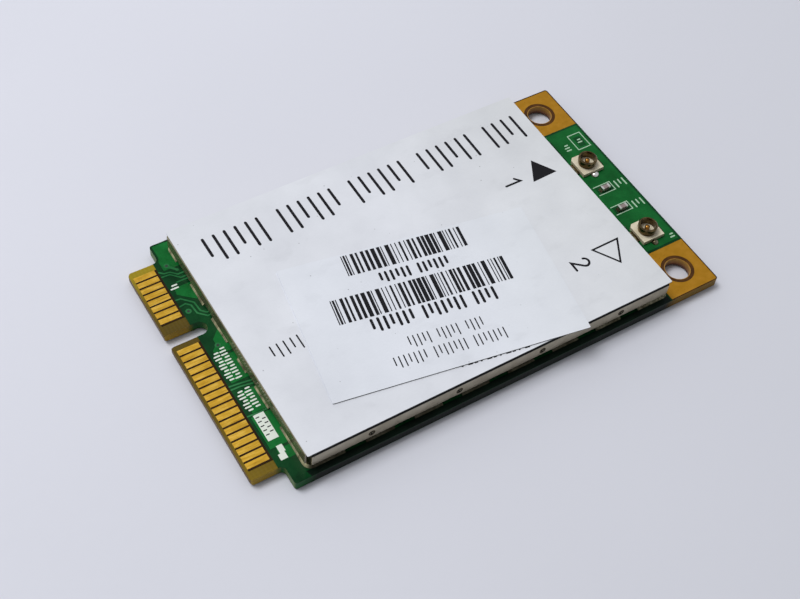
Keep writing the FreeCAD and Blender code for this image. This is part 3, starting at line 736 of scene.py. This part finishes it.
def numeral_two():
    """The line of a plain 2, as (across, up) steps: a bow that runs down to the foot, and the foot."""
    half = NUMERAL_HEIGHT / 2
    bow = arc(0, half - TWO_BOW_RADIUS, TWO_BOW_RADIUS, TWO_BOW_START, TWO_BOW_STOP, TWO_BOW_STEPS)
    return bow + [(x, -half) for x in TWO_FOOT_X]


def numerals():
    """Both numerals in their places, with their tops towards the sockets."""
    outlines = []
    for line, (x, y) in ((numeral_one(), FIRST_NUMERAL), (numeral_two(), SECOND_NUMERAL)):
        outlines.append(stroke([(x + up, y - across) for across, up in line], NUMERAL_LINE, TICK_CAP))
    return outlines


def upper_print():
    """Bar codes and lines of ticks on the upper label."""
    outlines = []
    for code in BAR_CODES:
        outlines += bar_code(*code)
    for line in UPPER_LINES:
        outlines += tick_line(*line)
    z = UPPER_HI.z
    placed = [on_upper(outline) for outline in outlines]
    flat_piece("upper_label_print", placed, z, z + INK_LIFT, BLACK_INK)


def main_print():
    """Lines of ticks, dashes, triangles and numerals on the main label."""
    outlines = []
    for line in MAIN_LINES:
        outlines += tick_line(*line)
    outlines += edge_dashes() + [FIRST_TRIANGLE] + numerals()
    sheet = Sheet()
    z = MAIN_LABEL_TOP
    for outline in outlines:
        sheet.prism(outline, z, z + INK_LIFT)
    sheet.band(*closed_line(SECOND_TRIANGLE, TRIANGLE_LINE), z, z + INK_LIFT)
    sheet.finish("main_label_print", BLACK_INK)


# Shield lid: rings of painted shade round its catch dimples

DIMPLE_PITCH = 9.25
DIMPLE_COUNT = 4
DIMPLE_RADIUS = 0.30
DIMPLE_FROM_MIDDLE = 0.17
DIMPLE_FROM_EDGE = 0.60
DIMPLE_LINE = 0.045
DIMPLE_LIFT = 0.012
DIMPLE_STEPS = 24


def dimple_shade_rings():
    """A ring of painted shade round each dimple, on both long sides."""
    lines = Sheet()
    middle_x = (LID_LO.x + LID_HI.x) / 2 + DIMPLE_FROM_MIDDLE
    middle_z = LID_LO.z + DIMPLE_FROM_EDGE
    outer = DIMPLE_RADIUS + DIMPLE_LINE
    inner = DIMPLE_RADIUS - DIMPLE_LINE
    for i in range(DIMPLE_COUNT):
        x = middle_x + (i - (DIMPLE_COUNT - 1) / 2) * DIMPLE_PITCH
        for side in (-1, 1):
            first = len(lines.mesh.verts)
            lines.ring(0, 0, outer, inner, 0, DIMPLE_LIFT, DIMPLE_STEPS)
            lines.mesh.verts.ensure_lookup_table()
            upright = Matrix.Rotation(side * math.pi / -2, 4, "X")
            place = Matrix.Translation(Vector((x, side * LID_HI.y, middle_z)) * MM) @ upright
            bmesh.ops.transform(lines.mesh, matrix=place, verts=lines.mesh.verts[first:])
    lines.finish("dimple_shade_rings", GAP_SHADE)


# Antenna sockets: the bright bead on the first one's tail

BEAD_AT = (22.72, 2.06)
BEAD_SIZE = (0.46, 0.40, 0.36)
BEAD_RINGS = 9
BEAD_STEPS = 28
BEAD_RIPPLE = 0.06


def bead_outline(rise):
    """The bead's uneven round outline, at an angle of rise from its foot."""
    outline = []
    for j in range(BEAD_STEPS):
        turn = math.tau * j / BEAD_STEPS
        ripple = BEAD_RIPPLE * (math.sin(2 * turn + 1) + math.sin(3 * turn) / 2)
        swell = math.cos(rise) * (1 + ripple)
        outline.append((BEAD_AT[0] + BEAD_SIZE[0] * swell * math.cos(turn),
                        BEAD_AT[1] + BEAD_SIZE[1] * swell * math.sin(turn)))
    return outline


def tail_bead():
    """A rounded bead of solder that sits on the board, over the tail of the pin."""
    sheet = Sheet()
    foot_z = MASK_HI.z
    height = BEAD_SIZE[2]
    rises = [math.pi / 2 * i / BEAD_RINGS for i in range(BEAD_RINGS)]
    rings = [sheet.loop(bead_outline(rise), foot_z + height * math.sin(rise)) for rise in rises]
    tip = sheet.loop([BEAD_AT], foot_z + height)[0]
    for lower, upper in zip(rings, rings[1:]):
        sheet.wall(lower, upper)
    for j in range(BEAD_STEPS):
        sheet.mesh.faces.new((rings[-1][j], rings[-1][(j + 1) % BEAD_STEPS], tip))
    sheet.mesh.faces.new(reversed(rings[0]))
    bead = sheet.finish("tail_bead", BRIGHT_SOLDER)
    bead.data.shade_smooth()


# Board: painted shade in the gaps beside the contacts, bare margins of the corner pads, and rims of the
# mounting holes

# Strips of painted shade: their thickness, and the strip across the contacts' ends with its rise over
# the others
GAP_LIFT = 0.034
END_STRIP = 0.12
END_RISE = 1.15
# Margins of the corner pads
PAD_MARGIN = 0.11
CORNER_RADIUS = 0.30
CORNER_STEPS = 8
# Mounting holes, with the land and the bare ring round each
HOLE_RADIUS = 1.30
HOLE_STEPS = 48
RIM_RADIUS = 1.70
RIM_LINE = 0.36
LAND_LIFT = 0.012
BARE_RISE = 1.5
WALL_LINING = 0.025


def contact_rows():
    """Where the contacts of both groups lie across the card, each from the notch outwards."""
    short_row = [SHORT_FIRST_Y + i * CONTACT_PITCH for i in range(SHORT_COUNT)]
    long_row = [LONG_FIRST_Y - i * CONTACT_PITCH for i in range(LONG_COUNT)]
    return short_row, long_row


def contact_gap_shade():
    """Strips of painted shade beside the contacts and across their inner ends, on both faces."""
    sheet = Sheet()
    half = (CONTACT_PITCH - CONTACT_WIDTH) / 2
    end_x = CONTACT_HI.x - END_STRIP
    faces = ((BOARD_HI.z, GAP_LIFT, 0), (BOARD_LO.z, -GAP_LIFT, UNDERSIDE_STAGGER))
    for face_z, lift, stagger in faces:
        for row in contact_rows():
            places = sorted(y - CONTACT_PITCH / 2 - stagger for y in row)
            for y in places:
                sheet.prism(rectangle(CONTACT_LO.x, end_x, y - half, y + half), face_z, face_z + lift)
            span = (places[0] - half, places[-1] + half + CONTACT_WIDTH)
            sheet.prism(rectangle(end_x, MASK_LO.x, *span), face_z, face_z + lift * END_RISE)
    sheet.finish("contact_gap_shade", GAP_SHADE)


def pad_margins():
    """The strip of bare board outside each corner pad, round the corner of the card, on both faces."""
    sheet = Sheet()
    x = PAD_HI.x - CORNER_RADIUS
    y = PAD_HI.y - CORNER_RADIUS
    reach = PAD_HI.x - PAD_LO.x - CORNER_RADIUS
    runs = []
    for radius in (CORNER_RADIUS, CORNER_RADIUS - PAD_MARGIN):
        corner = arc(x, y, radius, 0, math.pi / 2, CORNER_STEPS)
        runs.append([(x + radius, y - reach)] + corner + [(x - reach, y + radius)])
    outline = runs[0] + runs[1][::-1]
    for face_z, lift in ((PAD_HI.z, LAND_LIFT), (PADS_UNDER_Z, -LAND_LIFT)):
        for side in (-1, 1):
            mirrored = [(along, side * across) for along, across in outline]
            sheet.prism(mirrored, face_z, face_z + lift)
    sheet.finish("pad_margins", RIM_LOOK)


def hole_places():
    """The middles of the two mounting holes, which are the middles of the square corner pads."""
    half = (PAD_HI.x - PAD_LO.x) / 2
    return [(PAD_HI.x - half, side * (PAD_HI.y - half)) for side in (-1, 1)]


def hole_walls():
    """The thin plated lining of each mounting hole."""
    walls = Sheet()
    for x, y in hole_places():
        walls.ring(x, y, HOLE_RADIUS, HOLE_RADIUS - WALL_LINING, BOARD_LO.z, BOARD_HI.z, HOLE_STEPS)
    walls.finish("hole_walls", HOLE_WALL)


def hole_rims():
    """A worn land and a bare ring round each mounting hole, on both faces."""
    lands = Sheet()
    lines = Sheet()
    inside = RIM_RADIUS - RIM_LINE
    for z, lift in ((BOARD_HI.z, LAND_LIFT), (BOARD_LO.z, -LAND_LIFT)):
        for x, y in hole_places():
            lands.ring(x, y, inside, HOLE_RADIUS, z, z + lift, HOLE_STEPS)
            lines.ring(x, y, RIM_RADIUS, inside, z, z + lift * BARE_RISE, HOLE_STEPS)
    lands.finish("hole_lands", LAND_LOOK)
    lines.finish("hole_lines", BARE_RING)


# Copper, tracks and vias under the mask

# How far in under the shield the fields and tracks run
SHIELD_IN_X = LID_LO.x + 2.0
TOP_FIELDS = (
    [(-22.25, 11.55), (SHIELD_IN_X, 11.55), (SHIELD_IN_X, 14.8), (-22.05, 14.8), (-22.05, 13.3),
     (-22.25, 12.8)],
    [(-22.4, 8.4), (-21.6, 7.65), (-20.8, 7.0), (SHIELD_IN_X, 7.0), (SHIELD_IN_X, 9.2), (-21.8, 9.2),
     (-22.3, 9.0)],
    [(-21.7, 2.1), (-20.9, 2.9), (SHIELD_IN_X, 2.9), (SHIELD_IN_X, 0.3), (-22.3, 0.3), (-22.3, 0.9),
     (-21.7, 1.5)],
    rectangle(-22.4, SHIELD_IN_X, -3.1, 0.0),
    rectangle(-22.2, SHIELD_IN_X, -6.85, -4.3),
    rectangle(-22.55, SHIELD_IN_X, -10.9, -7.2),
    rectangle(-22.1, SHIELD_IN_X, -12.4, -11.2),
    rectangle(19.8, 25.2, -8.95, 8.95),
)
DARK_PATCHES = (
    rectangle(21.5, 23.35, -0.5, 0.56),
    rectangle(21.5, 23.35, -3.48, -2.48),
    rectangle(23.75, 24.55, 6.1, 7.5),
    rectangle(21.0, 21.25, 4.9, 8.3),
    rectangle(21.0, 21.25, -8.3, -5.2),
)
# Strips of painted shade along the two long edges: width, ends along the card, and slant at the
# contacts' end
BORDER_WIDTH = 0.68
BORDER_ENDS = (-20.75, 19.5)
BORDER_SLANT = 0.10
TRACK_WIDTH = 0.16
TRACK_CAP = 6
TOP_ROUTES = (
    [(-22.75, 11.6), (-22.4, 11.25), (-21.8, 11.15), (-21.25, 10.6), (SHIELD_IN_X, 10.6)],
    [(-22.75, 10.95), (-21.95, 10.9), (-21.15, 10.1), (SHIELD_IN_X, 10.1)],
    [(-21.75, 9.75), (SHIELD_IN_X, 9.75)],
    [(-22.75, 7.82), (-22.3, 7.78), (-21.35, 6.8), (-21.25, 5.65), (-20.8, 5.2), (SHIELD_IN_X, 5.2)],
    [(-22.75, 6.95), (-22.15, 7.05), (-21.75, 6.65), (-21.65, 5.55), (-20.9, 4.8), (SHIELD_IN_X, 4.8)],
    [(-22.75, -3.33), (-21.6, -3.45), (-20.3, -3.65), (SHIELD_IN_X, -3.65)],
    [(-22.75, -3.72), (-21.9, -3.75), (-20.4, -4.0), (SHIELD_IN_X, -4.0)],
    [(-22.75, -6.95), (-21.6, -7.0), (SHIELD_IN_X, -7.0)],
)
TOP_VIAS = ((-21.78, 12.0), (-22.28, 6.1), (-21.6, 1.3))
VIA_TAIL = [(-21.62, 11.8), (-21.05, 11.1)]
VIA_TAIL_WIDTH = 0.28
VIA_OUTER = 0.30
VIA_INNER = 0.14
VIA_STEPS = 16

# How far each kind stands up from the mask, in thicknesses of copper
BORDER_RISE = 0.5
TRACK_RISE = 1.2
PATCH_RISE = 1.3
VIA_HOLE_RISE = 1.4
VIA_RING_RISE = 1.6

UNDER_FIELDS = (
    rectangle(-13.6, 19.2, 9.9, 14.6),
    rectangle(-13.6, 19.2, -14.6, -10.6),
    rectangle(3.4, 19.2, -9.9, 9.2),
    rectangle(19.9, 25.1, -8.9, 8.9),
    rectangle(-21.9, -14.3, 12.6, 14.6),
    rectangle(-21.9, -14.3, -14.6, -12.6),
)
# Two rows of vias on the underside, and the bends of its tracks
UNDER_VIA_FIRST_X = -13.0
UNDER_VIA_PITCH = 2.115
UNDER_VIA_COUNT = 16
UNDER_VIA_Y = 13.6
UNDER_BEND_X = -20.6
UNDER_BEND_STEP = 2.9
UNDER_TAIL = 1.4
UNDER_SIDE_STEP = 0.3


def track(route):
    """The outline of a track along a route."""
    return stroke(route, TRACK_WIDTH, TRACK_CAP)


def vias(face, places, z, lift):
    """A ring and a dark hole at each place, on one face of the board."""
    rings = Sheet()
    holes = Sheet()
    for x, y in places:
        rings.ring(x, y, VIA_OUTER, VIA_INNER, z, z + lift * VIA_RING_RISE)
        holes.prism(circle(x, y, VIA_INNER, VIA_STEPS), z, z + lift * VIA_HOLE_RISE)
    rings.finish(face + "_via_rings", MASK_TRACK)
    holes.finish(face + "_via_holes", VIA_HOLE)


def border_shade_outlines():
    """The outlines of the strips of painted shade along the two long edges of the card."""
    start, stop = BORDER_ENDS
    edge = MASK_HI.y
    inner = edge - BORDER_WIDTH
    outline = [(start - BORDER_SLANT, inner), (stop, inner), (stop, edge), (start + BORDER_SLANT, edge)]
    return [[(x, side * y) for x, y in outline] for side in (-1, 1)]


def top_copper():
    """Fields, dark patches, strips of painted shade along the edges, tracks and vias on the top of the
    board.
    """
    z = MASK_HI.z
    lift = COPPER_LIFT
    flat_piece("top_copper_fields", TOP_FIELDS, z, z + lift, MASK_LIGHT)
    patch_z = z + lift * PATCH_RISE
    flat_piece("top_dark_patches", DARK_PATCHES, z + lift, patch_z, MASK_DARK)
    flat_piece("top_border_shade", border_shade_outlines(), z, z + lift * BORDER_RISE, MASK_IN_SHADE)
    tracks = [track(route) for route in TOP_ROUTES] + [stroke(VIA_TAIL, VIA_TAIL_WIDTH, TRACK_CAP)]
    flat_piece("top_tracks", tracks, z, z + lift * TRACK_RISE, MASK_TRACK)
    vias("top", TOP_VIAS, z, lift)


def under_routes():
    """Tracks from the underside's contacts, each ending at a via, with lengths by a plain formula."""
    short_row, long_row = contact_rows()
    start_x = MASK_UNDER_LO.x
    routes = []
    for i, place in enumerate(short_row + long_row):
        y = place - UNDERSIDE_STAGGER
        bend_x = UNDER_BEND_X + UNDER_BEND_STEP * ((i * 3) % 7)
        end_x = bend_x + UNDER_TAIL
        step = UNDER_SIDE_STEP * ((i % 3) - 1)
        bend = [(bend_x, y), (bend_x + abs(step), y + step)] if step else []
        routes.append([(start_x, y)] + bend + [(end_x, y + step)])
    return routes


def under_copper():
    """Fields, tracks and vias on the underside of the board."""
    z = MASK_UNDER_LO.z
    lift = -UNDER_LIFT
    flat_piece("under_copper_fields", UNDER_FIELDS, z, z + lift, MASK_LIGHT)
    routes = under_routes()
    tracks = [track(route) for route in routes]
    flat_piece("under_tracks", tracks, z, z + lift * TRACK_RISE, MASK_TRACK)
    row = [UNDER_VIA_FIRST_X + i * UNDER_VIA_PITCH for i in range(UNDER_VIA_COUNT)]
    places = [(x, side * UNDER_VIA_Y) for x in row for side in (-1, 1)]
    vias("under", places + [route[-1] for route in routes], z, lift)


# White print on the top of the board

SILK_LINE = 0.11
WHITE_BLOCK = (-22.325, -21.275, -10.1, -7.1)
STEPPED_BLOCK = [(-22.0, -10.85), (-21.42, -10.85), (-21.42, -11.6), (-21.55, -11.6), (-21.55, -12.35),
                 (-22.25, -12.35), (-22.25, -11.7), (-22.0, -11.7)]
CORNER_BOX = (23.325, 24.885, 5.8, 7.95)
OPEN_BOXES = ((21.4, 23.46, -0.56, 0.60), (21.4, 23.46, -3.55, -2.45))
BOX_CAP = 4

# Places of the plain bars: x from and to, y from and to
MARK_LINES = (
    (-21.78, -21.26, -3.2, 1.0),
    (-22.52, -22.0, -3.2, 0.7),
    (-21.75, -21.22, -6.8, -4.0),
    (-22.5, -21.98, -6.7, -4.1),
    (-22.6, -21.9, 8.95, 9.7),
    (22.1, 22.6, 6.0, 7.1),
    (24.55, 25.0, -8.75, -8.0),
    (23.9, 24.35, 6.45, 7.25),
)
PART_MARKS = ((23.95, 24.95, -0.50, 0.40), (23.95, 24.95, -3.60, -2.75))
PART_BARS = 3
MARK_PITCH = 0.36
MARK_LINE = 0.17
MARK_CAP = 3
SHORT_BAR = 0.35

# Rows of dark marks on the white block: x, distance of the first from the block's far end, and count
BLOCK_ROWS = ((-22.05, 0.35, 5), (-21.55, 0.65, 4))
BLOCK_PITCH = 0.5
BLOCK_HALF_MARK = 0.14


def open_box(x0, x1, y0, y1):
    """Three sides of a box, open towards the shield."""
    return stroke(rectangle(x0, x1, y0, y1), SILK_LINE, BOX_CAP)


def board_marks(x0, x1, y0, y1):
    """A line of short plain bars that runs across the card, with every third one shorter."""
    bars = []
    for i in range(int((y1 - y0) / MARK_PITCH)):
        y = y1 - (i + 0.5) * MARK_PITCH
        foot = x0 if i % 3 else x0 + (x1 - x0) * SHORT_BAR
        bars.append(stroke([(foot, y), (x1, y)], MARK_LINE, MARK_CAP))
    return bars


def part_marks(x0, x1, y0, y1):
    """A few plain bars in a row along the card, beside a small part, each second one shorter."""
    bars = []
    for i in range(PART_BARS):
        x = x0 + (x1 - x0) * i / (PART_BARS - 1)
        foot = y0 + (y1 - y0) * SHORT_BAR * (i % 2)
        bars.append(stroke([(x, foot), (x, y1)], MARK_LINE, MARK_CAP))
    return bars


def board_print():
    """White blocks, bars and boxes on the lacquer."""
    outlines = [rectangle(*WHITE_BLOCK), STEPPED_BLOCK]
    for line in MARK_LINES:
        outlines += board_marks(*line)
    for place in PART_MARKS:
        outlines += part_marks(*place)
    outlines += [open_box(*box) for box in OPEN_BOXES]
    sheet = Sheet()
    z = MASK_HI.z
    for outline in outlines:
        sheet.prism(outline, z, z + SILK_LIFT)
    sheet.band(*closed_line(rectangle(*CORNER_BOX), SILK_LINE), z, z + SILK_LIFT)
    sheet.finish("board_print", WHITE_INK)


def block_marks():
    """Two rows of short dark marks on the white block."""
    far_end = WHITE_BLOCK[3]
    outlines = []
    for x, first, count in BLOCK_ROWS:
        for j in range(count):
            y = far_end - first - j * BLOCK_PITCH
            ends = [(x - BLOCK_HALF_MARK, y), (x + BLOCK_HALF_MARK, y)]
            outlines.append(stroke(ends, SILK_LINE, MARK_CAP))
    z = MASK_HI.z + SILK_LIFT
    flat_piece("white_block_marks", outlines, z, z + INK_LIFT, BLACK_INK)


# Floor, light and camera

FLOOR_SIZE = 4000.0
FLOOR_Z = -0.16
# The way in which the floor's painted light falls off, and from where to where
FLOOR_FALL = (0.583, -0.812, 0.0)
FLOOR_SPAN = (-50.0, 60.0)
BACKDROP = linear((211, 213, 223))
# The room's strength, its strength on the near side, and the stretch of Y over which it falls
ROOM_LEVEL = 0.85
NEAR_SIDE_LEVEL = 0.03
NEAR_SIDE_SPAN = (-0.90, 0.45)
# Where the sun stands, its angle in degrees, and how bright it makes a level white face
SUN_FROM = (-80.0, 118.0, 275.0)
SUN_SPREAD = 28.0
SUN_SHARE = 0.50
# The photograph's view, with the roll in degrees
CAMERA_AT = (-48.777, -63.134, 100.805)
CAMERA_TARGET = (-3.472, -1.588, 0.0)
CAMERA_ROLL = 6.42
CAMERA_LENS = 58.52
SENSOR_WIDTH = 36.0
CLIP_START = 1.0


def stage():
    """A wide level floor, just under the card."""
    half = FLOOR_SIZE / 2
    corners = [Vector((x, y, FLOOR_Z)) * MM for x, y in rectangle(-half, half, -half, half)]
    data = bpy.data.meshes.new("floor")
    data.from_pydata(corners, [], [tuple(range(len(corners)))])
    data.materials.append(floor_look())
    made = bpy.data.objects.new("floor", data)
    bpy.context.collection.objects.link(made)


def aimed(place, target, roll=0.0):
    """A matrix that puts a lamp or camera at a place, looking at a target."""
    place = Vector(place) * MM
    turn = (Vector(target) * MM - place).to_track_quat("-Z", "Y").to_matrix()
    return Matrix.Translation(place) @ (turn @ Matrix.Rotation(math.radians(roll), 3, "Z")).to_4x4()


def room_light(tree):
    """An even white room that falls off to dark on the near side."""
    room = tree.nodes["Background"]
    room.inputs["Color"].default_value = (1.0, 1.0, 1.0, 1.0)
    way = tree.nodes.new("ShaderNodeSeparateXYZ")
    tree.links.new(tree.nodes.new("ShaderNodeTexCoord").outputs["Generated"], way.inputs["Vector"])
    fall = tree.nodes.new("ShaderNodeMapRange")
    start, stop = NEAR_SIDE_SPAN
    fall.inputs["From Min"].default_value = start
    fall.inputs["From Max"].default_value = stop
    fall.inputs["To Min"].default_value = NEAR_SIDE_LEVEL
    fall.inputs["To Max"].default_value = ROOM_LEVEL
    tree.links.new(way.outputs["Y"], fall.inputs["Value"])
    tree.links.new(fall.outputs["Result"], room.inputs["Strength"])
    return room.outputs["Background"]


def backdrop_rays(tree):
    """1 for rays that show the background, straight, mirrored or through glass, and 0 for the rest."""
    rays = tree.nodes.new("ShaderNodeLightPath").outputs
    shown = rays["Is Camera Ray"]
    for kind in ("Is Glossy Ray", "Is Transmission Ray"):
        either = tree.nodes.new("ShaderNodeMath")
        either.operation = "MAXIMUM"
        tree.links.new(shown, either.inputs[0])
        tree.links.new(rays[kind], either.inputs[1])
        shown = either.outputs["Value"]
    return shown


def studio_world():
    """The room that lights the card, seen as a backdrop as pale as the floor."""
    world = bpy.data.worlds.new("studio")
    world.use_nodes = True
    tree = world.node_tree
    backdrop = tree.nodes.new("ShaderNodeBackground")
    backdrop.inputs["Color"].default_value = BACKDROP
    choice = tree.nodes.new("ShaderNodeMixShader")
    tree.links.new(backdrop_rays(tree), choice.inputs["Fac"])
    tree.links.new(room_light(tree), choice.inputs[1])
    tree.links.new(backdrop.outputs["Background"], choice.inputs[2])
    tree.links.new(choice.outputs["Shader"], tree.nodes["World Output"].inputs["Surface"])
    bpy.context.scene.world = world


def soft_sun():
    """A broad, even light from above the far side."""
    lamp = bpy.data.lights.new("soft_sun", "SUN")
    lamp.angle = math.radians(SUN_SPREAD)
    lamp.energy = SUN_SHARE * math.pi / Vector(SUN_FROM).normalized().z
    made = bpy.data.objects.new("soft_sun", lamp)
    made.matrix_world = aimed(SUN_FROM, (0, 0, 0))
    bpy.context.collection.objects.link(made)


def camera():
    """A camera at the photograph's viewing angle."""
    data = bpy.data.cameras.new("camera")
    data.sensor_fit = "HORIZONTAL"
    data.sensor_width = SENSOR_WIDTH
    data.lens = CAMERA_LENS
    data.clip_start = CLIP_START * MM
    made = bpy.data.objects.new("camera", data)
    made.matrix_world = aimed(CAMERA_AT, CAMERA_TARGET, CAMERA_ROLL)
    bpy.context.collection.objects.link(made)
    bpy.context.scene.camera = made


dress_cad_nodes()
dimple_shade_rings()
tail_bead()
contact_gap_shade()
pad_margins()
hole_walls()
hole_rims()
upper_print()
main_print()
top_copper()
under_copper()
board_print()
block_marks()
stage()
studio_world()
soft_sun()
camera()
bpy.context.scene.view_settings.view_transform = "Standard"
